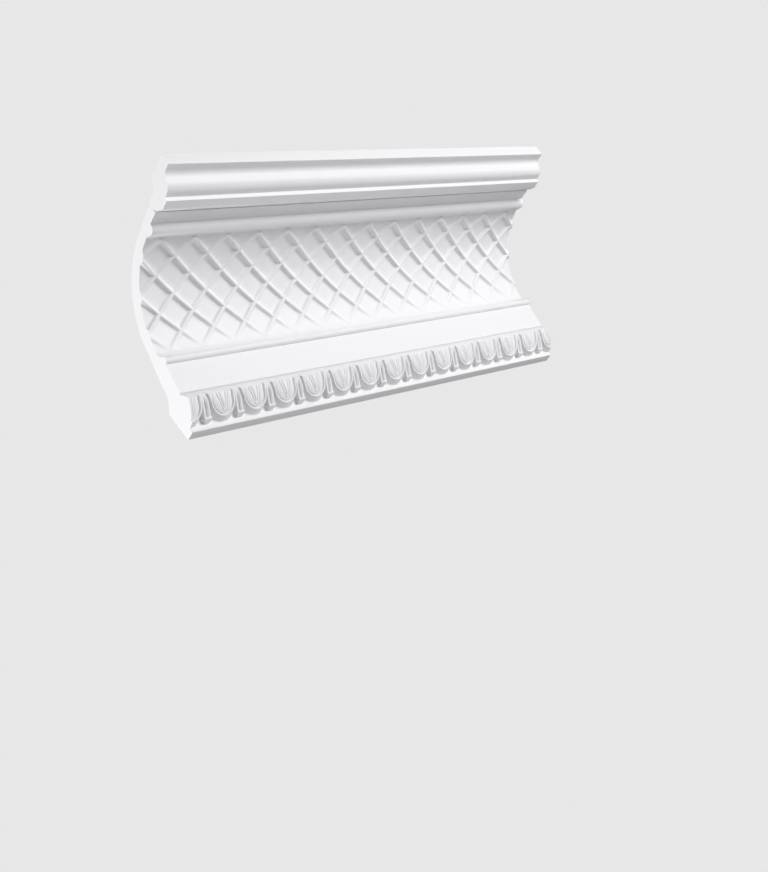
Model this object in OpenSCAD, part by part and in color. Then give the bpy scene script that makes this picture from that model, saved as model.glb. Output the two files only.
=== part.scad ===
// Cornice moulding length: a hollow-backed crown moulding with a lattice-carved cove above
// a band of egg and dart. Millimetres, +Z up, X along the length. The wall is the plane
// y = 0, the room is on the -Y side, and the origin is the middle of the flat on the wall.
// Points of the section are [y, z] pairs, with z = 0 at the lower edge.

/* [Overall] */
// Length of one repeat of the carving
pitch = 32.5; // [28:0.5:40]
// Number of repeats, which sets the length
repeats = 14; // [2:1:16]
// Height on the wall
height = 140; // [115:1:168]
// Projection over the ceiling
projection = 150; // [125:1:180]
// Height of the flat that bears on the wall
wall_face_h = 26; // [18:1:32]
// Depth of the flat that bears on the ceiling
ceiling_face_w = 20; // [15:1:26]
// Thickness of the wall behind the cove
shell_t = 8.5; // [6:0.5:12]
// Width of the slope behind each flat, towards the shell
back_slope_w = 8.3; // [7:0.1:10]
// Rise of the slope behind each flat
back_slope_rise = 8; // [6:0.1:10]

/* [Upper members] */
// Height of the top fillet
top_fillet_h = 9.5; // [7:0.5:12]
// Distance that the top fillet leans back over its height
top_fillet_lean = 1.5; // [0:0.1:2.5]
// Width of the soffit under the top fillet
top_soffit_w = 4.7; // [3:0.1:7]
// Width of the ogee
ogee_w = 16.8; // [14:0.1:20]
// Drop of the ogee
ogee_drop = 10.4; // [8:0.1:12]
// Share of the ogee that is hollow, before its round
ogee_hollow = 0.6; // [0.4:0.05:0.7]
// Height of the fine fillet under the ogee
fine_fillet_h = 2.9; // [2:0.1:4]
// Distance that the fine fillet leans back over its height
fine_fillet_lean = 1.2; // [0:0.1:1.8]
// Width of the outer soffit
outer_soffit_w = 7.3; // [5:0.1:9]
// Width of the chamfered step between the soffits
step_w = 6.3; // [4:0.1:7]
// Rise of the chamfered step
step_rise = 4.8; // [3:0.1:6]
// Width of the inner soffit
inner_soffit_w = 11.4; // [8:0.1:14]
// Radius of the bead at the head of the cove
bead_r = 5.6; // [4:0.1:6.5]
// Width of the quirk behind the bead
quirk_w = 6; // [4:0.1:8]
// Rise of the quirk
quirk_rise = 3.5; // [2:0.1:5]

/* [Cove] */
// Radius of the cove
cove_r = 71.5; // [62:0.5:90]
// Distance from the wall to the foot of the cove
cove_foot_w = 26.6; // [25:0.1:30]
// Half diamonds from the head of the lattice to its foot
lattice_rows = 6; // [2:2:8]
// Plain margin along the arc above the lattice
head_margin = 1.6; // [0.5:0.1:6]
// Plain margin along the arc below the lattice
foot_margin = 5.4; // [1:0.1:10]
// Height of the lattice ribs
rib_h = 2.2; // [1:0.1:3]
// Width of a rib at its base, measured along the length
rib_w = 6.4; // [4:0.1:9]
// Share of a repeat from the left end to the first crossing at the head
lattice_start = 0.44; // [0:0.01:0.99]

/* [Lower members] */
// Height of the lip's underside above the lower edge
lip_z = 50.3; // [46:0.1:56]
// Height from the lip's underside to the foot of the cove
lip_rise = 7.7; // [6:0.1:9]
// Radius of the lip's nose
nose_r = 2.6; // [1.2:0.1:2.9]
// Distance from the fascia to the middle of the nose
nose_out = 0.9; // [0.2:0.1:2.5]
// Distance from the wall to the head of the fascia
fascia_w = 28.2; // [27:0.1:31]
// Height of the fascia
fascia_h = 23.8; // [20:0.1:25]
// Distance that the fascia leans back over its height
fascia_lean = 5.7; // [3:0.1:7]
// Height of the groove under the fascia
groove_h = 1.8; // [1.2:0.1:3]
// Depth of the groove under the fascia
groove_d = 2.2; // [0.8:0.1:2.6]
// Height of the collar above the eggs
collar_h = 4.4; // [3:0.1:5]
// Distance that the collar stands out over its height
collar_out = 2.1; // [1:0.1:3]
// Distance from the collar's edge back to the ground of the eggs
ground_set_back = 2.4; // [1:0.1:3]
// Height of the foot fillet
foot_fillet_h = 3; // [2:0.1:4]
// Distance from the wall to the face of the foot fillet
foot_fillet_w = 8.2; // [7:0.1:10]

/* [Egg and dart] */
// Distance from the head of the ground to the middle of each egg
egg_drop = 7; // [6:0.1:8]
// Half width of an egg where it meets the ground
egg_half_w = 8; // [6:0.1:8.4]
// Half height of an egg where it meets the ground
egg_half_h = 10; // [8:0.1:10.5]
// Height of an egg above the ground
egg_relief = 4; // [2.5:0.1:5]
// Radius of the rim round an egg, to the middle of the rim
rim_r = 10.4; // [10:0.1:11]
// Width of the rim
rim_w = 2.4; // [1.6:0.1:3]
// Height of the rim above the ground
rim_relief = 3.6; // [2.5:0.1:4.5]
// Width of a dart at its head
dart_head_w = 1.8; // [1:0.1:2.5]
// Width of a dart at its foot
dart_foot_w = 4.6; // [3:0.1:6]
// Height of a dart above the ground
dart_relief = 3; // [2:0.1:4]
// Length of a dart, to the middle of the bar at its foot
dart_h = 16; // [13:0.1:17]
// Length of the bar at the foot of a dart
bar_w = 7.2; // [5:0.1:8]
// Radius of the bar
bar_r = 1.4; // [1:0.1:1.8]
// Height of the middle of the bar above the ground
bar_lift = 2.2; // [1:0.1:3]
// Distance that the rims and darts run on under the collar
collar_lap = 1; // [0.5:0.1:2]

/* [Hidden] */
$fn = 96;

// Depth that carving is bedded in its ground, and that the members lap the back of the shell.
bed = 0.5;
// Room that a cutting shape has round what it cuts.
cut_room = 1;
// Angles that the shell runs on into the members past the head and the foot of the cove, and
// that the back of the lower members reaches up it.
shell_past_head = 2;
shell_past_foot = 4;
back_reach = 7;

length = pitch * repeats;

// Section points, from the top front corner down to the head of the cove.
top_front = [-projection, height];
top_fillet_foot = top_front + [top_fillet_lean, -top_fillet_h];
ogee_head = top_fillet_foot + [top_soffit_w, 0];
ogee_foot = ogee_head + [ogee_w, -ogee_drop];
fine_fillet_foot = ogee_foot + [fine_fillet_lean, -fine_fillet_h];
step_foot = fine_fillet_foot + [outer_soffit_w, 0];
step_head = step_foot + [step_w, step_rise];
bead_centre = step_head + [inner_soffit_w + bead_r, 0];
bead_foot = bead_centre - [0, bead_r];
cove_head = bead_foot + [quirk_w, quirk_rise];

// The ogee is two equal-angled arcs that meet smoothly.
ogee_angle = 2 * atan(ogee_drop / ogee_w);
ogee_r = ogee_w / sin(ogee_angle);
hollow_r = ogee_r * ogee_hollow;
round_r = ogee_r - hollow_r;
hollow_centre = ogee_head - [0, hollow_r];
round_centre = ogee_foot + [0, round_r];
ogee_middle = polar(hollow_centre, hollow_r, 90 - ogee_angle);

// The cove is the arc of its radius through its head and foot, hollow towards the room.
cove_foot = [-cove_foot_w, lip_z + lip_rise];
chord = cove_foot - cove_head;
cove_centre = (cove_head + cove_foot) / 2
    + [chord[1], -chord[0]] / norm(chord) * sqrt(pow(cove_r, 2) - pow(norm(chord) / 2, 2));
head_angle = angle_of(cove_head - cove_centre);
foot_angle = angle_of(cove_foot - cove_centre);
back_r = cove_r + shell_t;

// Back of the members at the head and at the foot of the shell.
back_head = polar(cove_centre, back_r + bed, head_angle);
back_foot = polar(cove_centre, back_r + bed, foot_angle + back_reach);
ceiling_inner = top_front + [ceiling_face_w, 0];
ceiling_slope_foot = ceiling_inner + [back_slope_w, -back_slope_rise];
wall_slope_head = [-back_slope_w, wall_face_h + back_slope_rise];

// Section points from the lip down to the wall.
fascia_head = [-fascia_w, lip_z];
nose_centre = fascia_head + [-nose_out, nose_r];
nose_chord = cove_foot - nose_centre;
nose_head = polar(nose_centre, nose_r, angle_of(nose_chord) + acos(nose_r / norm(nose_chord)));
fascia_foot = fascia_head + [fascia_lean, -fascia_h];
groove_foot = fascia_foot - [0, groove_h];
collar_foot = groove_foot - [collar_out, collar_h];
ground_head = collar_foot + [ground_set_back, 0];
ground_foot = [-foot_fillet_w, foot_fillet_h];
ground = ground_foot - ground_head;

// Lattice: a grid of half repeats by equal angles, of which each square has one rib from
// corner to corner. It starts before the left end and stops after the right end, and the
// shell that carries it runs a little way into the members at its head and foot.
columns = 2 * repeats + 4;
lattice_x = (lattice_start - 1.5) * pitch;
lattice_head = head_angle - arc_angle(head_margin);
lattice_foot = foot_angle + arc_angle(foot_margin);
row_angle = (lattice_foot - lattice_head) / lattice_rows;
inset = rib_w / pitch;
shell_angles = concat(
    [head_angle + shell_past_head],
    [for (j = [0:lattice_rows]) lattice_head + row_angle * j],
    [foot_angle - shell_past_foot]
);

// Eggs are turned to sit with their axis under the ground.
egg_section_r = (pow(egg_half_w, 2) + pow(egg_relief, 2)) / (2 * egg_relief);
egg_side_r = (pow(egg_half_h, 2) + pow(egg_relief, 2)) / (2 * egg_relief);
egg_sink = egg_section_r - egg_relief;

function polar(centre, r, a) = centre + r * [cos(a), sin(a)];
function angle_of(v) = atan2(v[1], v[0]);
function arc_angle(l) = l / cove_r * 180 / PI;

// A disc's lower front quarter, for the rounds of the section.
module quarter(centre, r) {
    intersection() {
        translate(centre) circle(r);
        translate(centre - [r, r]) square(r);
    }
}

// Top fillet, ogee, fine fillet, stepped soffit and bead.
module upper_section() {
    difference() {
        polygon([
            top_front, top_fillet_foot, ogee_head, ogee_middle, ogee_foot, fine_fillet_foot,
            step_foot, step_head, step_head + [inner_soffit_w, 0], bead_foot, cove_head,
            back_head, ceiling_slope_foot, ceiling_inner
        ]);
        translate(hollow_centre) circle(hollow_r);
    }
    quarter(round_centre, round_r);
    quarter(bead_centre, bead_r);
}

// Lip, fascia, groove, collar, ground of the eggs and foot fillet.
module lower_section() {
    polygon([
        cove_foot, nose_head, nose_centre, nose_centre - [0, nose_r],
        fascia_head, fascia_foot, fascia_foot + [groove_d, -groove_h / 2], groove_foot,
        collar_foot, ground_head, ground_foot, [-foot_fillet_w, 0], [0, 0], [0, wall_face_h],
        wall_slope_head, back_foot
    ]);
    translate(nose_centre) circle(nose_r);
}

// Counts of the shell's points: grid corners, one on each edge across, one on each edge down.
corner_count = (columns + 1) * (lattice_rows + 1);
across_count = columns * (lattice_rows + 1);
down_count = (columns + 1) * lattice_rows;
front_count = corner_count + across_count + down_count;

// A point of the shell at column i, at an angle and a radius of the cove.
function shell_point(i, a, r) =
    let (p = polar(cove_centre, r, a)) [lattice_x + i * pitch / 2, p[0], p[1]];
function front_point(i, j, rise) = shell_point(i, lattice_head + row_angle * j, cove_r - rise);

// Ribs cross where this is true, and between the crossings is the middle of a diamond.
function crossing(i, j) = (i + j) % 2 == 1;
function share(from_crossing) = from_crossing ? inset : 1 - inset;

function corner(i, j) = j * (columns + 1) + i;
function across(i, j) = corner_count + j * columns + i;
function down(i, j) = corner_count + across_count + j * (columns + 1) + i;
function margin(side, k) = front_count + 2 * k + side;
function back(side, k) = front_count + 4 + 2 * k + side;
function reversed(v) = [for (k = [len(v) - 1:-1:0]) v[k]];

// The six faces of one square: the two slopes of its rib, then the floor on either side.
function square(i, j) =
    let (head = across(i, j), foot = across(i, j + 1), left = down(i, j), right = down(i + 1, j),
         a = corner(i, j), b = corner(i + 1, j), c = corner(i + 1, j + 1), d = corner(i, j + 1))
    crossing(i, j)
        ? [[a, head, right], [a, right, c], [a, foot, left], [a, c, foot], [head, b, right], [left, foot, d]]
        : [[b, left, head], [b, d, left], [b, foot, d], [b, right, foot], [a, head, left], [right, c, foot]];

// Where row j meets the plain margin, from left to right, under the ends of its ribs.
function border(j) = concat(
    [for (i = [0:columns - 1]) each crossing(i, j) ? [across(i, j)] : [corner(i, j), across(i, j)]],
    [corner(columns, j)]);
function rib_end(i, j) = [across(i - 1, j), across(i, j), corner(i, j)];

// One end of the shell, from the head to the foot.
function shell_end(i, side) = concat(
    [[margin(side, 0), corner(i, 0), back(side, 1), back(side, 0)]],
    [for (j = [0:lattice_rows - 1]) each [
        [down(i, j), corner(i, j + 1), back(side, j + 2)],
        [corner(i, j), down(i, j), back(side, j + 1)],
        [back(side, j + 1), down(i, j), back(side, j + 2)]]],
    [[corner(i, lattice_rows), margin(side, 1), back(side, lattice_rows + 2), back(side, lattice_rows + 1)]]);

// Shell of the cove, with the lattice on its front.
module shell() {
    last = len(shell_angles) - 1;
    rows = lattice_rows;
    points = concat(
        [for (j = [0:rows], i = [0:columns]) front_point(i, j, crossing(i, j) ? rib_h : 0)],
        [for (j = [0:rows], i = [0:columns - 1]) front_point(i + share(crossing(i, j)), j, 0)],
        [for (j = [0:rows - 1], i = [0:columns]) front_point(i, j + share(crossing(i, j)), 0)],
        [for (k = [0, last], i = [0, columns]) shell_point(i, shell_angles[k], cove_r)],
        [for (k = [0:last], i = [0, columns]) shell_point(i, shell_angles[k], back_r)]
    );
    faces = concat(
        [for (j = [0:rows - 1], i = [0:columns - 1]) each square(i, j)],
        [for (i = [1:2:columns - 1]) rib_end(i, 0)],
        [for (i = [1:2:columns - 1]) reversed(rib_end(i, rows))],
        [concat([margin(1, 0)], reversed(border(0)), [margin(0, 0)])],
        [concat([margin(1, 1), margin(0, 1)], border(rows))],
        [for (k = [0:last - 1]) [back(0, k), back(0, k + 1), back(1, k + 1), back(1, k)]],
        [[margin(0, 0), back(0, 0), back(1, 0), margin(1, 0)]],
        [[margin(1, 1), back(1, last), back(0, last), margin(0, 1)]],
        shell_end(0, 0),
        [for (f = shell_end(columns, 1)) reversed(f)]
    );
    polyhedron(points, faces);
}

// Places children on the ground of the eggs: +Y up the ground from its head, +Z off it.
module on_ground() {
    translate([0, ground_head[0], ground_head[1]]) rotate([angle_of(-ground), 0, 0]) children();
}

// An egg: a surface of revolution that shows its top above the ground.
module egg() {
    intersection() {
        translate([0, 0, -egg_sink]) rotate([90, 0, 0]) rotate_extrude() intersection() {
            translate([egg_section_r - egg_side_r, 0]) circle(egg_side_r);
            translate([0, -egg_side_r]) square(2 * egg_side_r);
        }
        translate([-egg_half_w - cut_room, -egg_half_h - cut_room, -bed])
            cube([2 * (egg_half_w + cut_room), 2 * (egg_half_h + cut_room), egg_relief + 2 * bed]);
    }
}

// Rim round the foot of an egg, with straight legs up to the collar.
module rim() {
    outer = rim_r + rim_w / 2;
    inner = rim_r - rim_w / 2;
    leg = egg_drop + collar_lap;
    translate([0, 0, -bed]) linear_extrude(rim_relief + bed) {
        intersection() {
            difference() {
                circle(outer);
                circle(inner);
            }
            translate([-outer - cut_room, -outer - cut_room])
                square([2 * (outer + cut_room), outer + cut_room]);
        }
        translate([-outer, 0]) square([rim_w, leg]);
        translate([inner, 0]) square([rim_w, leg]);
    }
}

// Dart between two rims, with a bar across its foot.
module dart() {
    translate([0, 0, -bed]) linear_extrude(dart_relief + bed) polygon([
        [-dart_head_w / 2, collar_lap], [-dart_foot_w / 2, -dart_h],
        [dart_foot_w / 2, -dart_h], [dart_head_w / 2, collar_lap]
    ]);
    translate([-bar_w / 2, -dart_h, bar_lift]) rotate([0, 90, 0]) cylinder(bar_w, bar_r, bar_r);
    translate([-bar_w / 2, -dart_h - bar_r, -bed]) cube([bar_w, 2 * bar_r, bar_lift + bed]);
}

// The carving of the band, with an egg at either end that the end cuts in half.
module egg_and_dart() {
    on_ground() {
        for (i = [0:repeats])
            translate([i * pitch, -egg_drop, 0]) {
                egg();
                rim();
            }
        for (i = [0:repeats - 1]) translate([(i + 0.5) * pitch, 0, 0]) dart();
    }
}

// Cuts children square at both ends of the length.
module cut_square() {
    intersection() {
        children();
        translate([0, -projection - cut_room, -cut_room])
            cube([length, projection + 2 * cut_room, height + 2 * cut_room]);
    }
}

// The whole moulding.
module cornice() {
    color("white") translate([-length / 2, 0, -wall_face_h / 2]) {
        rotate([90, 0, 90]) linear_extrude(length) {
            upper_section();
            lower_section();
        }
        cut_square() shell();
        cut_square() egg_and_dart();
    }
}

cornice();
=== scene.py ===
"""Cornice moulding length in primed polyurethane foam.

One moulded piece: stepped and ogee upper members, a cove carved with a lattice, a lip over a
plain fascia, and a band of egg and dart at the foot. The section is drawn in millimetres as
(y, z) points, with the wall at y = 0, the room on the -Y side and z = 0 at the lower edge.
Its mesh is one closed skin that is built too long and then cut square at both ends.
"""
import logging
import math
from dataclasses import dataclass, field
from enum import Enum

import bmesh
import bpy
from mathutils import Euler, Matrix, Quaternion, Vector


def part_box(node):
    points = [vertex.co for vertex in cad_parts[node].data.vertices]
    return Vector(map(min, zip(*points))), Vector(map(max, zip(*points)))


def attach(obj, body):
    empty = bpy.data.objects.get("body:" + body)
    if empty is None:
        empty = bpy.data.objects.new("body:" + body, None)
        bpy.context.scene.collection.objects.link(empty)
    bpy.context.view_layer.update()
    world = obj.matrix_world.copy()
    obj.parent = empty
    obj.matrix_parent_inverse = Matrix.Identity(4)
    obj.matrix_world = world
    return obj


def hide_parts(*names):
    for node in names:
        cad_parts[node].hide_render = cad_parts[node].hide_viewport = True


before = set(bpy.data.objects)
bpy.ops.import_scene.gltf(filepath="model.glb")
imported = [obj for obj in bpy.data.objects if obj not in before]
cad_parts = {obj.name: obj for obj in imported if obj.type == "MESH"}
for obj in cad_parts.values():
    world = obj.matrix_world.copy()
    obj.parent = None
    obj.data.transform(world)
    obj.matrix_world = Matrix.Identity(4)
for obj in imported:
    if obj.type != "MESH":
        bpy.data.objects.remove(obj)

LOG = logging.getLogger("cornice")
MM = 0.001
Point = tuple[float, float]
Place = tuple[float, float, float]
Row = list[bmesh.types.BMVert]


class Edge(Enum):
    """How far a moulded edge is rounded, in millimetres."""

    CRISP = 0.25
    SOFT = 0.6
    FULL = 1.2
    SWEPT = 2.4


def srgb(code: str) -> tuple[float, float, float, float]:
    """Turns a colour code into the linear colour that shaders take.

    Args:
        code: sRGB colour as six hex digits.

    Returns:
        Linear red, green and blue with full alpha.
    """
    parts = [int(code[i : i + 2], 16) / 255 for i in (0, 2, 4)]
    linear = [c / 12.92 if c <= 0.04045 else ((c + 0.055) / 1.055) ** 2.4 for c in parts]
    return (*linear, 1.0)


def add_node(tree: bpy.types.NodeTree, kind: str, settings: dict, links: dict) -> bpy.types.Node:
    """Adds a shader node.

    Args:
        tree: Node tree that the node goes into.
        kind: Blender's name for the type of node.
        settings: Values by name, each an input's or else the node's own.
        links: Output sockets by the name of the input that each feeds.

    Returns:
        The new node.
    """
    node = tree.nodes.new(kind)
    for name, value in settings.items():
        if name in node.inputs:
            node.inputs[name].default_value = value
        else:
            setattr(node, name, value)
    for name, socket in links.items():
        tree.links.new(socket, node.inputs[name])
    return node


def smooth(low: float, high: float, value: float) -> float:
    """Rises smoothly from 0 at low to 1 at high."""
    t = min(max((value - low) / (high - low), 0.0), 1.0)
    return t * t * (3 - 2 * t)


def dome(distance: float, half_width: float) -> float:
    """Height of a half-round of unit height at a distance from its middle."""
    return math.sqrt(max(0.0, 1 - (distance / half_width) ** 2))


def shifted(point: Point, by: Point) -> Point:
    """Moves a point."""
    return point[0] + by[0], point[1] + by[1]


def polar(centre: Point, radius: float, degrees: float) -> Point:
    """Point at a radius and an angle from a centre."""
    turn = math.radians(degrees)
    return centre[0] + radius * math.cos(turn), centre[1] + radius * math.sin(turn)


def arc(centre: Point, radius: float, start: float, end: float, steps: int) -> list[Point]:
    """Points along an arc.

    Args:
        centre: Centre of the arc.
        radius: Radius in millimetres.
        start: Angle of the first point in degrees.
        end: Angle of the last point in degrees.
        steps: Number of straight pieces that stand for the arc.

    Returns:
        Both end points and those between them.
    """
    return [polar(centre, radius, start + (end - start) * i / steps) for i in range(steps + 1)]


def rounded(before: Point, corner: Point, after: Point, edge: Edge) -> list[Point]:
    """Rounds one corner of the section.

    Args:
        before: Point before the corner.
        corner: The corner.
        after: Point after the corner.
        edge: How far it is rounded.

    Returns:
        Points of a curve that takes the corner's place.
    """
    steps = 4
    most_of_side = 0.45
    here = Vector(corner)
    ends = []
    for other in (before, after):
        way = Vector(other) - here
        ends.append(here + way.normalized() * min(edge.value, way.length * most_of_side))
    points = []
    for i in range(steps + 1):
        t = i / steps
        spot = ends[0] * (1 - t) ** 2 + here * 2 * t * (1 - t) + ends[1] * t * t
        points.append((spot.x, spot.y))
    return points


@dataclass
class Outline:
    """Run of section points, each either on a curve or a corner with its own rounding."""

    points: list[tuple[Point, Edge | None]] = field(default_factory=list)

    def corner(self, point: Point, edge: Edge = Edge.SOFT) -> None:
        """Adds a corner that is rounded."""
        self.points.append((point, edge))

    def curve(self, points: list[Point]) -> None:
        """Adds points that already lie on a curve."""
        self.points.extend((point, None) for point in points)

    def drawn(self) -> list[Point]:
        """Works out the run with its corners rounded.

        Returns:
            Every point of the run, in order.
        """
        done: list[Point] = []
        last = len(self.points) - 1
        for i, (point, edge) in enumerate(self.points):
            if edge is None or i in (0, last):
                done.append(point)
            else:
                done.extend(rounded(self.points[i - 1][0], point, self.points[i + 1][0], edge))
        return done


@dataclass
class Skin:
    """Mesh under construction: rows of vertices along X that are sewn to one another."""

    mesh: bmesh.types.BMesh
    low_z: float

    def __post_init__(self) -> None:
        """Adds the layer that tells carved faces from plain ones."""
        self.carved = self.mesh.faces.layers.int.new("carved")

    def row(self, points: list[Place]) -> Row:
        """Adds a row of vertices.

        Args:
            points: Places in millimetres, with x along the length and z above the lower edge.

        Returns:
            The vertices, in order of x.
        """
        return [self.mesh.verts.new((x * MM, y * MM, z * MM + self.low_z)) for x, y, z in points]

    def face(self, *corners: bmesh.types.BMVert, carved: bool = False) -> None:
        """Adds a face that is shaded smooth.

        Args:
            corners: Its vertices in order.
            carved: Whether it is carving, which is shaded smooth over every edge.
        """
        made = self.mesh.faces.new(corners)
        made.smooth = True
        made[self.carved] = int(carved)

    def plain(self, points: list[Point], ends: Point) -> list[Row]:
        """Builds a plain stretch of the section.

        Args:
            points: Its outline.
            ends: Where it starts and ends along the length.

        Returns:
            A row of two vertices for each point.
        """
        rows = [self.row([(x, y, z) for x in ends]) for y, z in points]
        for upper, lower in zip(rows, rows[1:]):
            self.sew(upper, lower)
        return rows

    def sew(self, upper: Row, lower: Row, carved: bool = False) -> None:
        """Fills between two rows, and leaves the fill flat where their numbers of vertices differ.

        Args:
            upper: Row on the side that the section comes from.
            lower: Row on the side that it goes to.
            carved: Whether the fill is carving.
        """
        if len(upper) == len(lower):
            for i in range(len(upper) - 1):
                self.face(upper[i], lower[i], lower[i + 1], upper[i + 1], carved=carved)
            return
        i = j = 0
        while i < len(upper) - 1 or j < len(lower) - 1:
            step_upper = j == len(lower) - 1
            if not step_upper and i < len(upper) - 1:
                step_upper = upper[i + 1].co.x <= lower[j + 1].co.x
            if step_upper:
                self.mesh.faces.new((upper[i], lower[j], upper[i + 1]))
                i += 1
            else:
                self.mesh.faces.new((upper[i], lower[j], lower[j + 1]))
                j += 1


@dataclass
class UpperMembers:
    """Top fillet, ogee, fine fillet, stepped soffit and bead, hung from the top front corner.

    Every pair after the corner is a step from the place before it, inwards and upwards.
    """

    corner: Point
    top_fillet: Point = (1.5, -9.5)
    top_soffit_w: float = 4.7
    ogee: Point = (16.8, -10.4)
    ogee_turn: float = 60.0
    hollow_r: float = 5.9
    swell_r: float = 8.0
    ogee_steps: int = 14
    fine_fillet: Point = (1.2, -2.9)
    outer_soffit_w: float = 7.3
    step: Point = (6.3, 4.8)
    slot: Point = (1.1, 2.4)
    inner_soffit_w: float = 11.4
    bead_r: float = 5.6
    bead_steps: int = 12
    quirk: Point = (6.0, 3.5)

    def outline(self) -> Outline:
        """Draws the members.

        Returns:
            Their run, from the top front corner to the head of the cove.
        """
        run = Outline()
        run.corner(self.corner)
        fillet_foot = shifted(self.corner, self.top_fillet)
        run.corner(fillet_foot)
        ogee_head = shifted(fillet_foot, (self.top_soffit_w, 0))
        run.curve(self.ogee_curve(ogee_head))
        ogee_foot = shifted(ogee_head, self.ogee)
        run.corner(ogee_foot, Edge.CRISP)
        fine_foot = shifted(ogee_foot, self.fine_fillet)
        run.corner(fine_foot, Edge.CRISP)
        step_foot = shifted(fine_foot, (self.outer_soffit_w, 0))
        run.corner(step_foot, Edge.CRISP)
        step_head = shifted(step_foot, self.step)
        for corner in ((0, 0), (0, self.slot[1]), self.slot, (self.slot[0], 0)):
            run.corner(shifted(step_head, corner), Edge.CRISP)
        bead_centre = shifted(step_head, (self.inner_soffit_w + self.bead_r, 0))
        run.curve(arc(bead_centre, self.bead_r, 180, 270, self.bead_steps))
        run.corner(self.cove_head(), Edge.CRISP)
        return run

    def cove_head(self) -> Point:
        """Finds where the quirk ends and the cove begins.

        Returns:
            The head of the cove.
        """
        place = self.corner
        for part in (
            self.top_fillet,
            (self.top_soffit_w, 0),
            self.ogee,
            self.fine_fillet,
            (self.outer_soffit_w, 0),
            self.step,
            (self.inner_soffit_w + self.bead_r, -self.bead_r),
            self.quirk,
        ):
            place = shifted(place, part)
        return place

    def ogee_curve(self, head: Point) -> list[Point]:
        """Draws the ogee as a hollow and a swell that turn by the same angle, with a straight between.

        Args:
            head: Its upper end.

        Returns:
            Points from the upper end to where the swell has turned level.
        """
        turn = math.radians(self.ogee_turn)
        radii = self.hollow_r + self.swell_r
        straight = (-self.ogee[1] - radii * (1 - math.cos(turn))) / math.sin(turn)
        across = radii * math.sin(turn) + straight * math.cos(turn)
        hollow_centre = shifted(head, (0, -self.hollow_r))
        swell_centre = shifted(head, (across, self.ogee[1] + self.swell_r))
        hollow = arc(hollow_centre, self.hollow_r, 90, 90 - self.ogee_turn, self.ogee_steps)
        return hollow + arc(swell_centre, self.swell_r, 270 - self.ogee_turn, 270, self.ogee_steps)


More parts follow.
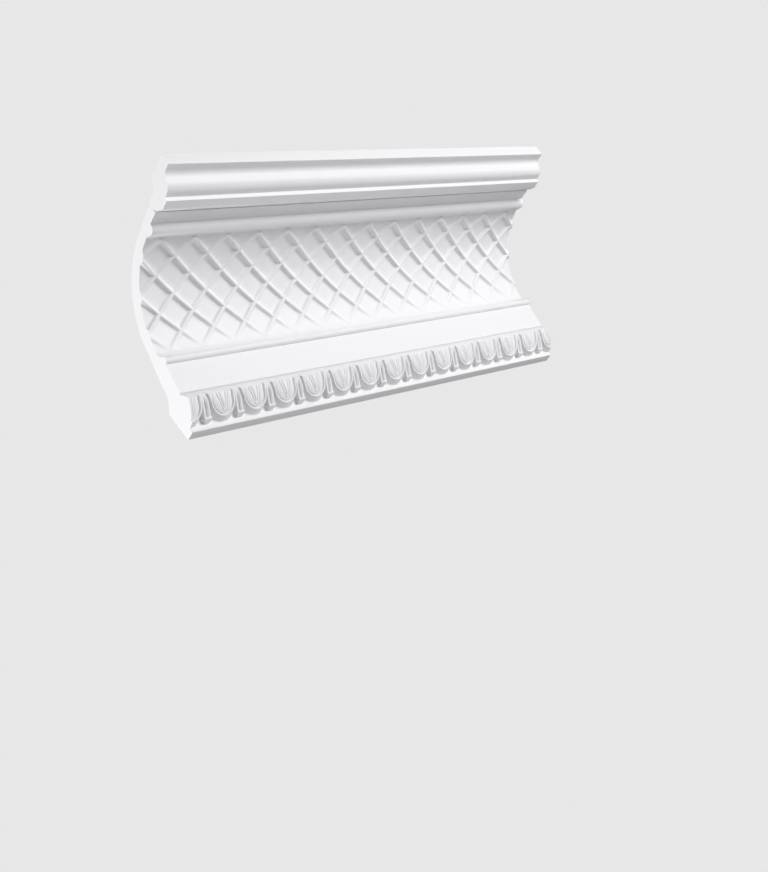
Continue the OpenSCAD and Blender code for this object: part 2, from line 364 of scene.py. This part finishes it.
@dataclass
class Cove:
    """Hollow of the moulding, with a lattice of raised ribs that melt away at its foot.

    The lattice is laid out in diamonds: a counts across the ribs that fall to the right, b
    across those that rise, and a - b is the number of rows below the head.
    """

    head: Point
    foot: Point
    pitch: float
    radius: float = 71.5
    shell_t: float = 8.5
    rows: int = 6
    head_margin: float = 1.6
    foot_margin: float = 5.4
    start_share: float = 0.44
    rib_h: float = 2.3
    foot_fade: float = 0.8
    faded_rows: float = 1.5
    crest_share: float = 0.02
    rib_share: float = 0.14
    pillow_h: float = 0.35
    sweep: float = 4.5
    back_slope: Point = (8.3, 8.0)
    back_reach: float = 7.0
    back_steps: int = 28
    border_turn: float = 0.3
    spare_diamonds: int = 2
    rib_lines: tuple[float, ...] = (0, 0.02, 0.042, 0.08, 0.115, 0.15, 0.3)

    def __post_init__(self) -> None:
        """Works out the centre and the angles of the arc."""
        chord = Vector(self.foot) - Vector(self.head)
        aside = Vector((chord.y, -chord.x)).normalized()
        centre = (Vector(self.head) + Vector(self.foot)) / 2
        centre += aside * math.sqrt(self.radius**2 - (chord.length / 2) ** 2)
        self.centre = (centre.x, centre.y)
        self.head_angle = self.angle_of(self.head)
        self.foot_angle = self.angle_of(self.foot)
        self.lattice_head = self.head_angle - math.degrees(self.head_margin / self.radius)
        lattice_foot = self.foot_angle + math.degrees(self.foot_margin / self.radius)
        self.row_angle = (lattice_foot - self.lattice_head) / self.rows

    def angle_of(self, point: Point) -> float:
        """Angle of a point about the cove's centre, in degrees."""
        return math.degrees(math.atan2(point[1] - self.centre[1], point[0] - self.centre[0]))

    def relief(self, a: float, b: float) -> float:
        """Works out how high the carving stands.

        Args:
            a: Place across the ribs that fall to the right, in diamonds.
            b: Place across the ribs that rise to the right, in diamonds.

        Returns:
            Height over the cove in millimetres.
        """
        away = min(abs(a - round(a)), abs(b - round(b)))
        crest = self.rib_h * (1 - self.foot_fade * smooth(self.rows - self.faded_rows, self.rows, a - b))
        rib = crest * (1 - smooth(self.crest_share, self.rib_share, away))
        pillow = self.pillow_h * math.sin(math.pi * a) ** 2 * math.sin(math.pi * b) ** 2
        return max(rib, pillow)

    def place(self, a: float, b: float) -> Place:
        """Finds a point of the lattice.

        Args:
            a: Place across the ribs that fall to the right, in diamonds.
            b: Place across the ribs that rise to the right, in diamonds.

        Returns:
            The point, with its relief.
        """
        angle = self.lattice_head + (a - b) * self.row_angle
        y, z = polar(self.centre, self.radius - self.relief(a, b), angle)
        return (self.start_share + (a + b) / 2) * self.pitch, y, z

    def carve(self, skin: Skin, length: float) -> tuple[Row, Row]:
        """Builds the lattice on lines that run along its ribs, so that crests stay sharp.

        Args:
            skin: Mesh to build into.
            length: Length of the moulding, which the lattice passes at both ends.

        Returns:
            The rows of vertices at its head and at its foot.
        """
        shares = sorted({*self.rib_lines, 0.5, *(1 - share for share in self.rib_lines[1:])})
        count = len(shares)
        first = -self.rows // 2 - self.spare_diamonds
        diamonds = math.ceil(length / self.pitch) + self.spare_diamonds - first
        depth = self.rows * count

        def line(index: int) -> float:
            """Place of a line of the grid across the ribs, in diamonds."""
            return first + index // count + shares[index % count]

        grid = []
        for b in range(diamonds * count + 1):
            grid.append(skin.row([self.place(line(b + m), line(b)) for m in range(depth + 1)]))
        for b in range(diamonds * count):
            for m in range(depth):
                skin.face(grid[b][m], grid[b][m + 1], grid[b + 1][m], carved=True)
                skin.face(grid[b][m + 1], grid[b + 1][m + 1], grid[b + 1][m], carved=True)
        borders = []
        for m, turn in ((0, self.border_turn), (depth, -self.border_turn)):
            edge = [column[m] for column in grid]
            angle = self.lattice_head + m / count * self.row_angle + turn
            y, z = polar(self.centre, self.radius, angle)
            base = skin.row([(vert.co.x / MM, y, z) for vert in edge])
            skin.sew(*((base, edge) if m == 0 else (edge, base)), carved=True)
            borders.append(base)
        return borders[0], borders[1]

    def sweep_head(self) -> Point:
        """Finds where the plain foot of the cove begins to sweep out to the lip."""
        angle = self.foot_angle + math.degrees(self.sweep / self.radius)
        return polar(self.centre, self.radius, angle)

    def back(self, ceiling: Point, wall: Point) -> Outline:
        """Draws the plain back.

        Args:
            ceiling: Inner edge of the flat on the ceiling.
            wall: Upper edge of the flat on the wall.

        Returns:
            Its run, from the wall up to the ceiling.
        """
        run = Outline()
        run.corner(wall)
        width, rise = self.back_slope
        run.corner((wall[0] - width, wall[1] + rise), Edge.FULL)
        start = self.foot_angle + self.back_reach
        run.curve(arc(self.centre, self.radius + self.shell_t, start, self.head_angle, self.back_steps))
        run.corner((ceiling[0] + width, ceiling[1] - rise), Edge.FULL)
        run.corner(ceiling)
        return run


@dataclass
class LowerMembers:
    """Lip, fascia, groove and collar, from the foot of the cove to the ground of the eggs.

    The cove's arc aims at its foot, but its face sweeps out over the head of the lip first.
    """

    cove_foot: Point = (-26.6, 58.0)
    fascia_head: Point = (-28.2, 50.3)
    lip_head: Point = (-27.6, 58.6)
    nose_r: float = 3.0
    nose_out: float = 0.5
    nose_steps: int = 14
    fascia: Point = (5.7, -23.8)
    groove_h: float = 1.8
    groove_d: float = 2.2
    collar: Point = (-1.1, -2.0)
    ground_head: Point = (-22.2, 19.9)

    def outline(self, sweep_head: Point) -> Outline:
        """Draws the members.

        Args:
            sweep_head: Where the foot of the cove begins to sweep out.

        Returns:
            Their run, from there to the edge of the collar.
        """
        run = Outline()
        run.corner(sweep_head)
        run.corner(self.lip_head, Edge.SWEPT)
        nose = (self.fascia_head[0] - self.nose_out, self.fascia_head[1] + self.nose_r)
        chord = Vector(self.lip_head) - Vector(nose)
        tangent = math.degrees(math.atan2(chord.y, chord.x) + math.acos(self.nose_r / chord.length))
        run.curve(arc(nose, self.nose_r, tangent, 270, self.nose_steps))
        run.corner(self.fascia_head, Edge.CRISP)
        fascia_foot = shifted(self.fascia_head, self.fascia)
        run.corner(fascia_foot, Edge.CRISP)
        run.corner(shifted(fascia_foot, (self.groove_d, -self.groove_h / 2)), Edge.CRISP)
        run.corner(shifted(fascia_foot, (0, -self.groove_h)), Edge.CRISP)
        run.corner(self.collar_edge())
        return run

    def collar_edge(self) -> Point:
        """Finds the lower edge of the collar."""
        groove_foot = shifted(shifted(self.fascia_head, self.fascia), (0, -self.groove_h))
        return shifted(groove_foot, self.collar)


@dataclass
class EggAndDart:
    """Carved band: eggs in U-shaped rims that meet in a pointed arch over each dart.

    Heights are measured off the ground, distances down it from its head, and the band begins
    a little above that, at the edge of the collar.
    """

    collar: Point
    head: Point
    foot: Point
    pitch: float

    # The egg: a crown that falls to its edge, with creases as (half spread, foot).
    middle: float = 5.8
    egg_half_w: float = 9.5
    egg_half_h: float = 9.6
    egg_h: float = 4.2
    egg_edge_h: float = 2.4
    egg_fall: float = 0.3
    crown: float = 0.4
    creases: tuple[Point, ...] = ((3.2, 12.5), (6.2, 15.0))
    crease_d: float = 0.8
    crease_w: float = 0.5
    crease_bow: float = 0.7
    crease_end: float = 0.12

    # The rim: half round below the middle, and up to the arch above it.
    rim_gap_share: float = 0.5
    rim_in: float = 9.8
    rim_out: float = 11.9
    rim_h: float = 3.5
    rim_fall: float = 0.2
    rim_round: float = 0.45
    arch_head: float = -2.4
    soffit_run: float = 1.15

    # The dart: a spine, two sides and the bar that they stand on.
    spine_h: float = 3.2
    spine_w: float = 1.8
    spine_head_share: float = 0.4
    side_h: float = 2.5
    side_w: float = 1.0
    side_start: float = 0.54
    dart_head_share: float = 0.25
    side_gap: float = 0.6
    bar_head: float = 15.4
    bar_foot: float = 17.2
    bar_half_w: float = 4.1
    bar_h: float = 2.8

    # The floor between them, and how the band blends in at its head and foot.
    arch_floor_h: float = 2.3
    arch_floor_foot: float = 13.0
    hollow_d: float = 2.8
    hollow_head: float = 5.0
    hollow_deepest: float = 14.5
    head_round: float = 1.8
    foot_round: float = 0.5

    # The grid that it is built on.
    columns: int = 76
    spare_columns: int = 9
    rows: int = 60

    def __post_init__(self) -> None:
        """Works out the direction of the ground, its normal and where the band begins."""
        way = Vector(self.foot) - Vector(self.head)
        self.depth = way.length
        self.way = way.normalized()
        self.out = Vector((self.way.y, -self.way.x))
        begins = Vector(self.collar) - Vector(self.head)
        self.start = begins.dot(self.way)
        self.start_h = begins.dot(self.out)

    def egg(self, x: float, down: float) -> float:
        """Works out the egg, with nested creases that each meet in a point below.

        Args:
            x: Distance from the middle of the egg.
            down: Distance down the ground from its head.

        Returns:
            Its height, or the depth of the floor outside it.
        """
        below = max(down - self.middle, 0) / self.egg_half_h
        edge = math.hypot(x / self.egg_half_w, below)
        if edge >= 1:
            return -self.hollow_d
        from_crown = (down - self.middle) / self.egg_half_h - self.crown
        crown_h = self.egg_h * (1 - self.egg_fall * from_crown**2)
        height = self.egg_edge_h + (crown_h - self.egg_edge_h) * dome(edge, 1)
        for spread, foot in self.creases:
            along = min(max((foot - down) / (foot - self.start), 0.0), 1.0)
            aside = abs(x) - spread * along**self.crease_bow
            crease = math.exp(-((aside / self.crease_w) ** 2))
            height -= self.crease_d * crease * smooth(0, self.crease_end, along)
        return height * smooth(0, self.rim_round, (1 - edge) * self.egg_half_w)

    def rim(self, x: float, down: float) -> float:
        """Works out the rim, whose underside slopes back to the ground below each egg.

        Args:
            x: Distance from the middle of the egg.
            down: Distance down the ground from its head.

        Returns:
            Its height, or the depth of the floor outside it.
        """
        below = max(down - self.middle, 0)
        ring = math.hypot(x, below)
        rise = smooth(0, self.rim_round, ring - self.rim_in)
        inner = self.rim_gap_share + (1 - self.rim_gap_share) * rise
        if below == 0:
            room = self.pitch / 2 - abs(x) - self.arch_half_w(down)
            return self.rim_h * inner * smooth(0, self.rim_round, room)
        if ring < self.rim_out:
            outer = smooth(self.rim_out - self.rim_round, self.rim_out, ring)
            return self.rim_h * inner * (1 - self.rim_fall * outer)
        if abs(x) >= self.rim_out:
            return -self.hollow_d
        edge = math.sqrt(self.rim_out**2 - x * x)
        beside = smooth(0, self.rim_round, self.rim_out - abs(x))
        fall = self.rim_h * (1 - self.rim_fall) - (below - edge) / self.soffit_run
        return fall * beside if fall > 0 else fall

    def arch_half_w(self, down: float) -> float:
        """Half the width of the pointed arch over a dart."""
        share = max(down - self.arch_head, 0) / (self.middle - self.arch_head)
        return (self.pitch / 2 - self.rim_out) * math.sqrt(share)

    def dart(self, x: float, down: float) -> float:
        """Works out the dart, a spine between two narrow sides that stand on a bar.

        Args:
            x: Distance from the middle of the nearest egg.
            down: Distance down the ground from its head.

        Returns:
            Its height, or the depth of the floor outside it.
        """
        aside = self.pitch / 2 - abs(x)
        if down > self.bar_head:
            past = max(down - self.bar_foot, 0) / self.soffit_run
            room = self.bar_half_w * dome(past, self.bar_h) - aside
            bar = self.bar_h - past
            return bar * smooth(0, self.rim_round, room) if room > 0 and bar > 0 else -self.hollow_d
        along = max(down - self.arch_head, 0) / (self.bar_head - self.arch_head)
        spread = self.spine_head_share + (1 - self.spine_head_share) * along
        spine = self.spine_h * (1 - aside / (self.spine_w * spread))
        room = self.arch_half_w(min(down, self.middle)) - self.side_gap - aside
        side = self.side_h * smooth(0, self.rim_round, room)
        side *= smooth(0, self.side_w, aside - self.side_start)
        dart = max(spine, side) * smooth(0, self.dart_head_share, along)
        return dart if dart > 0 else -self.hollow_d

    def relief(self, x: float, down: float) -> float:
        """Works out how high the carving stands.

        Args:
            x: Distance from the middle of the nearest egg.
            down: Distance down the ground from its head.

        Returns:
            Height in millimetres: that of the collar at the top, and nothing at the foot.
        """
        floor = self.arch_floor_h * (1 - smooth(0, self.arch_floor_foot, down))
        falling = smooth(self.hollow_head, self.hollow_deepest, down)
        rising = (self.depth - down) / (self.depth - self.hollow_deepest)
        floor -= self.hollow_d * min(falling, rising)
        carving = max(self.egg(x, down), self.rim(x, down), self.dart(x, down), floor)
        height = self.start_h + (carving - self.start_h) * smooth(0, self.head_round, down - self.start)
        return height * smooth(0, self.foot_round, self.depth - down)

    def carve(self, skin: Skin, length: float) -> tuple[Row, Row]:
        """Builds the band.

        Args:
            skin: Mesh to build into.
            length: Length of the moulding, which the band passes at both ends.

        Returns:
            The rows of vertices at its head and at its foot.
        """
        last = math.ceil(length / self.pitch) * self.columns + self.spare_columns
        stations = [i * self.pitch / self.columns for i in range(-self.spare_columns, last + 1)]
        lines = []
        for j in range(self.rows + 1):
            down = self.start + (self.depth - self.start) * j / self.rows
            line = []
            for x in stations:
                aside = x - round(x / self.pitch) * self.pitch
                spot = Vector(self.head) + self.way * down + self.out * self.relief(aside, down)
                line.append((x, spot.x, spot.y))
            lines.append(skin.row(line))
        for upper, lower in zip(lines, lines[1:]):
            skin.sew(upper, lower, carved=True)
        return lines[0], lines[-1]


@dataclass(frozen=True)
class PrimedPolyurethane:
    """High-density polyurethane foam, moulded and sprayed with a white factory primer.

    The primer hides the foam, and gives the eye an even matt white with a faint sheen.
    """

    colour: str = "EAEAEC"
    roughness: float = 0.52
    ior: float = 1.46
    orange_peel_mm: float = 1.6
    orange_peel_depth_mm: float = 0.02
    sheen_patch_mm: float = 40.0
    sheen_range: float = 0.06

    def material(self) -> bpy.types.Material:
        """Makes the material.

        Returns:
            Material whose patterns are sized in metres from the piece's own coordinates.
        """
        made = bpy.data.materials.new("primed_polyurethane")
        made.use_nodes = True
        tree = made.node_tree
        tree.nodes.clear()
        place = add_node(tree, "ShaderNodeTexCoord", {}, {}).outputs["Object"]
        # The spray settles in patches of slightly different sheen.
        patches = add_node(
            tree,
            "ShaderNodeTexNoise",
            {"Scale": 1 / (self.sheen_patch_mm * MM), "Detail": 2.0},
            {"Vector": place},
        )
        sheen = add_node(
            tree,
            "ShaderNodeMapRange",
            {"To Min": self.roughness - self.sheen_range, "To Max": self.roughness + self.sheen_range},
            {"Value": patches.outputs["Fac"]},
        )
        # Orange peel of dried primer, drawn three times as coarse as the real one so that it shows.
        peel = add_node(
            tree,
            "ShaderNodeTexNoise",
            {"Scale": 1 / (self.orange_peel_mm * MM), "Detail": 3.0},
            {"Vector": place},
        )
        bump = add_node(
            tree,
            "ShaderNodeBump",
            {"Strength": 0.5, "Distance": self.orange_peel_depth_mm * MM},
            {"Height": peel.outputs["Fac"]},
        )
        shader = add_node(
            tree,
            "ShaderNodeBsdfPrincipled",
            {"Base Color": srgb(self.colour), "IOR": self.ior},
            {"Roughness": sheen.outputs["Result"], "Normal": bump.outputs["Normal"]},
        )
        add_node(tree, "ShaderNodeOutputMaterial", {}, {"Surface": shader.outputs["BSDF"]})
        return made


@dataclass
class Cornice:
    """The moulding as one piece, within a box from the low corner to the high one in metres."""

    low: Vector
    high: Vector
    repeats: int = 14
    wall_face_h: float = 26.0
    ceiling_face_w: float = 20.0
    foot_fillet: Point = (-8.2, 3.0)
    overrun: float = 12.0
    fillet_drop: float = 0.3
    sharp_degrees: float = 34.0
    cut_tolerance: float = 1e-7

    def build(self, finish: PrimedPolyurethane) -> bpy.types.Object:
        """Builds the piece.

        Args:
            finish: What it is made of.

        Returns:
            The object, in place in the row's frame.
        """
        mesh = bmesh.new()
        self.close_skin(Skin(mesh, self.low.z))
        bmesh.ops.translate(mesh, vec=(self.low.x, 0, 0), verts=mesh.verts)
        for end, outward in ((self.low.x, -1), (self.high.x, 1)):
            self.cut(mesh, end, outward)
        bmesh.ops.recalc_face_normals(mesh, faces=mesh.faces)
        self.set_edges(mesh)
        data = bpy.data.meshes.new("cornice_moulding")
        mesh.to_mesh(data)
        mesh.free()
        data.materials.append(finish.material())
        piece = bpy.data.objects.new("cornice_moulding", data)
        bpy.context.scene.collection.objects.link(piece)
        return piece

    def close_skin(self, skin: Skin) -> None:
        """Sews the whole skin, down the front of the section and up its back.

        Args:
            skin: Mesh to build into.
        """
        length = (self.high.x - self.low.x) / MM
        height = (self.high.z - self.low.z) / MM
        pitch = length / self.repeats
        ends = (-self.overrun, length + self.overrun)

        upper = UpperMembers(corner=(self.low.y / MM, height))
        lower = LowerMembers()
        cove = Cove(head=upper.cove_head(), foot=lower.cove_foot, pitch=pitch)
        band = EggAndDart(
            collar=lower.collar_edge(), head=lower.ground_head, foot=self.foot_fillet, pitch=pitch
        )

        top_rows = skin.plain(upper.outline().drawn(), ends)
        lattice_head, lattice_foot = cove.carve(skin, length)
        middle_rows = skin.plain(lower.outline(cove.sweep_head()).drawn()[:-1], ends)
        band_head, band_foot = band.carve(skin, length)
        back_rows = skin.plain(self.around_back(cove, height), ends)
        for first, second in (
            (top_rows[-1], lattice_head),
            (lattice_foot, middle_rows[0]),
            (middle_rows[-1], band_head),
            (band_foot, back_rows[0]),
            (back_rows[-1], top_rows[0]),
        ):
            skin.sew(first, second)

    def around_back(self, cove: Cove, height: float) -> list[Point]:
        """Draws the foot fillet, the two flats and the back.

        Args:
            cove: The cove, which the back follows.
            height: Height of the moulding in millimetres.

        Returns:
            Points from the face of the foot fillet round to the top.
        """
        run = Outline()
        run.corner(shifted(self.foot_fillet, (0, -self.fillet_drop)))
        run.corner((self.foot_fillet[0], 0.0))
        run.corner((0.0, 0.0))
        ceiling = (self.low.y / MM + self.ceiling_face_w, height)
        run.points += cove.back(ceiling, (0.0, self.wall_face_h)).points
        run.corner((self.low.y / MM + Edge.SOFT.value, height))
        return run.drawn()

    def cut(self, mesh: bmesh.types.BMesh, end: float, outward: int) -> None:
        """Cuts one end square and closes it.

        Args:
            mesh: The skin.
            end: Where the cut is along X, in metres.
            outward: -1 for the left end or 1 for the right.
        """
        everything = [*mesh.verts, *mesh.edges, *mesh.faces]
        made = bmesh.ops.bisect_plane(
            mesh,
            geom=everything,
            dist=self.cut_tolerance,
            plane_co=(end, 0, 0),
            plane_no=(outward, 0, 0),
            clear_outer=True,
        )
        rim = [item for item in made["geom_cut"] if isinstance(item, bmesh.types.BMEdge)]
        bmesh.ops.triangle_fill(mesh, use_beauty=True, edges=rim, normal=(outward, 0, 0))

    def set_edges(self, mesh: bmesh.types.BMesh) -> None:
        """Keeps the sharp edges of the skin from being shaded smooth.

        Args:
            mesh: The skin, cut and closed.
        """
        limit = math.radians(self.sharp_degrees)
        carved = mesh.faces.layers.int["carved"]
        for edge in mesh.edges:
            within = all(face[carved] for face in edge.link_faces)
            edge.smooth = edge.is_manifold and (within or edge.calc_face_angle(0) < limit)


@dataclass(frozen=True)
class SoftLight:
    """Square light, by the way and the distance in metres that it stands from its aim."""

    name: str
    way: Place
    distance: float
    size: float
    watts: float


@dataclass
class Studio:
    """Pale floor, soft light and the camera."""

    floor_drop: float = 1.1
    floor_size: float = 14.0
    floor_colour: str = "E6E6E6"
    floor_roughness: float = 0.9
    floor_glow: float = 0.6
    world_colour: str = "FFFFFF"
    world_strength: float = 0.1
    backdrop_strength: float = 0.8
    light_aim: Place = (-0.05, -0.08, 0.05)
    lights: tuple[SoftLight, ...] = (
        SoftLight("key", way=(0.42, -0.9, -0.02), distance=2.0, size=0.85, watts=37.0),
        SoftLight("end", way=(-0.9, 0.4, 0.0), distance=1.7, size=0.6, watts=25.0),
        SoftLight("ceiling", way=(0.1, 0.75, 0.65), distance=1.7, size=0.9, watts=6.0),
    )
    camera_place: Place = (-0.852, -0.6316, -0.4604)
    azimuth: float = -51.91
    elevation: float = -21.78
    roll: float = 39.55
    lens_mm: float = 55.73
    sensor_mm: float = 36.0
    nearest: float = 0.01
    farthest: float = 100.0

    def build(self) -> None:
        """Makes the whole studio."""
        self.floor()
        self.world()
        self.camera()
        for light in self.lights:
            self.hang(light)

    def floor(self) -> None:
        """Lays the floor well below the moulding."""
        data = bpy.data.meshes.new("floor")
        half = self.floor_size / 2
        corners = [(-half, -half, 0), (half, -half, 0), (half, half, 0), (-half, half, 0)]
        data.from_pydata(corners, [], [(0, 1, 2, 3)])
        data.materials.append(self.floor_paint())
        floor = bpy.data.objects.new("floor", data)
        floor.location.z = -self.floor_drop
        bpy.context.scene.collection.objects.link(floor)

    def floor_paint(self) -> bpy.types.Material:
        """Makes a matt paint that looks pale without throwing light up at the moulding.

        Returns:
            The floor's material.
        """
        paint = bpy.data.materials.new("floor_paint")
        paint.use_nodes = True
        tree = paint.node_tree
        tree.nodes.clear()
        seen = add_node(tree, "ShaderNodeLightPath", {}, {}).outputs["Is Camera Ray"]
        glow = add_node(tree, "ShaderNodeMapRange", {"To Max": self.floor_glow}, {"Value": seen})
        colour = srgb(self.floor_colour)
        shader = add_node(
            tree,
            "ShaderNodeBsdfPrincipled",
            {"Base Color": colour, "Roughness": self.floor_roughness, "Emission Color": colour},
            {"Emission Strength": glow.outputs["Result"]},
        )
        add_node(tree, "ShaderNodeOutputMaterial", {}, {"Surface": shader.outputs["BSDF"]})
        return paint

    def world(self) -> None:
        """Lights the whole room evenly, and shows it paler than it lights."""
        world = bpy.data.worlds.new("room")
        world.use_nodes = True
        tree = world.node_tree
        tree.nodes.clear()
        seen = add_node(tree, "ShaderNodeLightPath", {}, {}).outputs["Is Camera Ray"]
        strength = add_node(
            tree,
            "ShaderNodeMapRange",
            {"To Min": self.world_strength, "To Max": self.backdrop_strength},
            {"Value": seen},
        )
        sky = add_node(
            tree,
            "ShaderNodeBackground",
            {"Color": srgb(self.world_colour)},
            {"Strength": strength.outputs["Result"]},
        )
        add_node(tree, "ShaderNodeOutputWorld", {}, {"Surface": sky.outputs["Background"]})
        bpy.context.scene.world = world

    def hang(self, light: SoftLight) -> None:
        """Hangs a soft light and points it at the moulding.

        Args:
            light: What it is and where it stands.
        """
        data = bpy.data.lights.new(light.name, "AREA")
        data.size = light.size
        data.energy = light.watts
        offset = Vector(light.way).normalized() * light.distance
        lamp = bpy.data.objects.new(light.name, data)
        lamp.location = Vector(self.light_aim) + offset
        lamp.rotation_mode = "QUATERNION"
        lamp.rotation_quaternion = (-offset).to_track_quat("-Z", "Y")
        bpy.context.scene.collection.objects.link(lamp)

    def camera(self) -> None:
        """Places the camera below and to the left, rolled so that the length runs across."""
        data = bpy.data.cameras.new("camera")
        data.sensor_width = self.sensor_mm
        data.lens = self.lens_mm
        data.clip_start = self.nearest
        data.clip_end = self.farthest
        upright = Euler((math.radians(90 - self.elevation), 0, math.radians(self.azimuth)))
        turn = upright.to_quaternion() @ Quaternion((0, 0, 1), math.radians(-self.roll))
        camera = bpy.data.objects.new("camera", data)
        camera.location = self.camera_place
        camera.rotation_mode = "QUATERNION"
        camera.rotation_quaternion = turn
        bpy.context.scene.collection.objects.link(camera)
        bpy.context.scene.camera = camera


def main() -> None:
    logging.basicConfig(level=logging.INFO, format="%(name)s: %(message)s")
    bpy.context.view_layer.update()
    low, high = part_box("cornice")
    piece = Cornice(low=low, high=high).build(PrimedPolyurethane())
    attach(piece, "root")
    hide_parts("cornice")
    LOG.info("%s: %d faces", piece.name, len(piece.data.polygons))
    Studio().build()
    bpy.context.scene.view_settings.view_transform = "Standard"


if __name__ == "__main__":
    main()
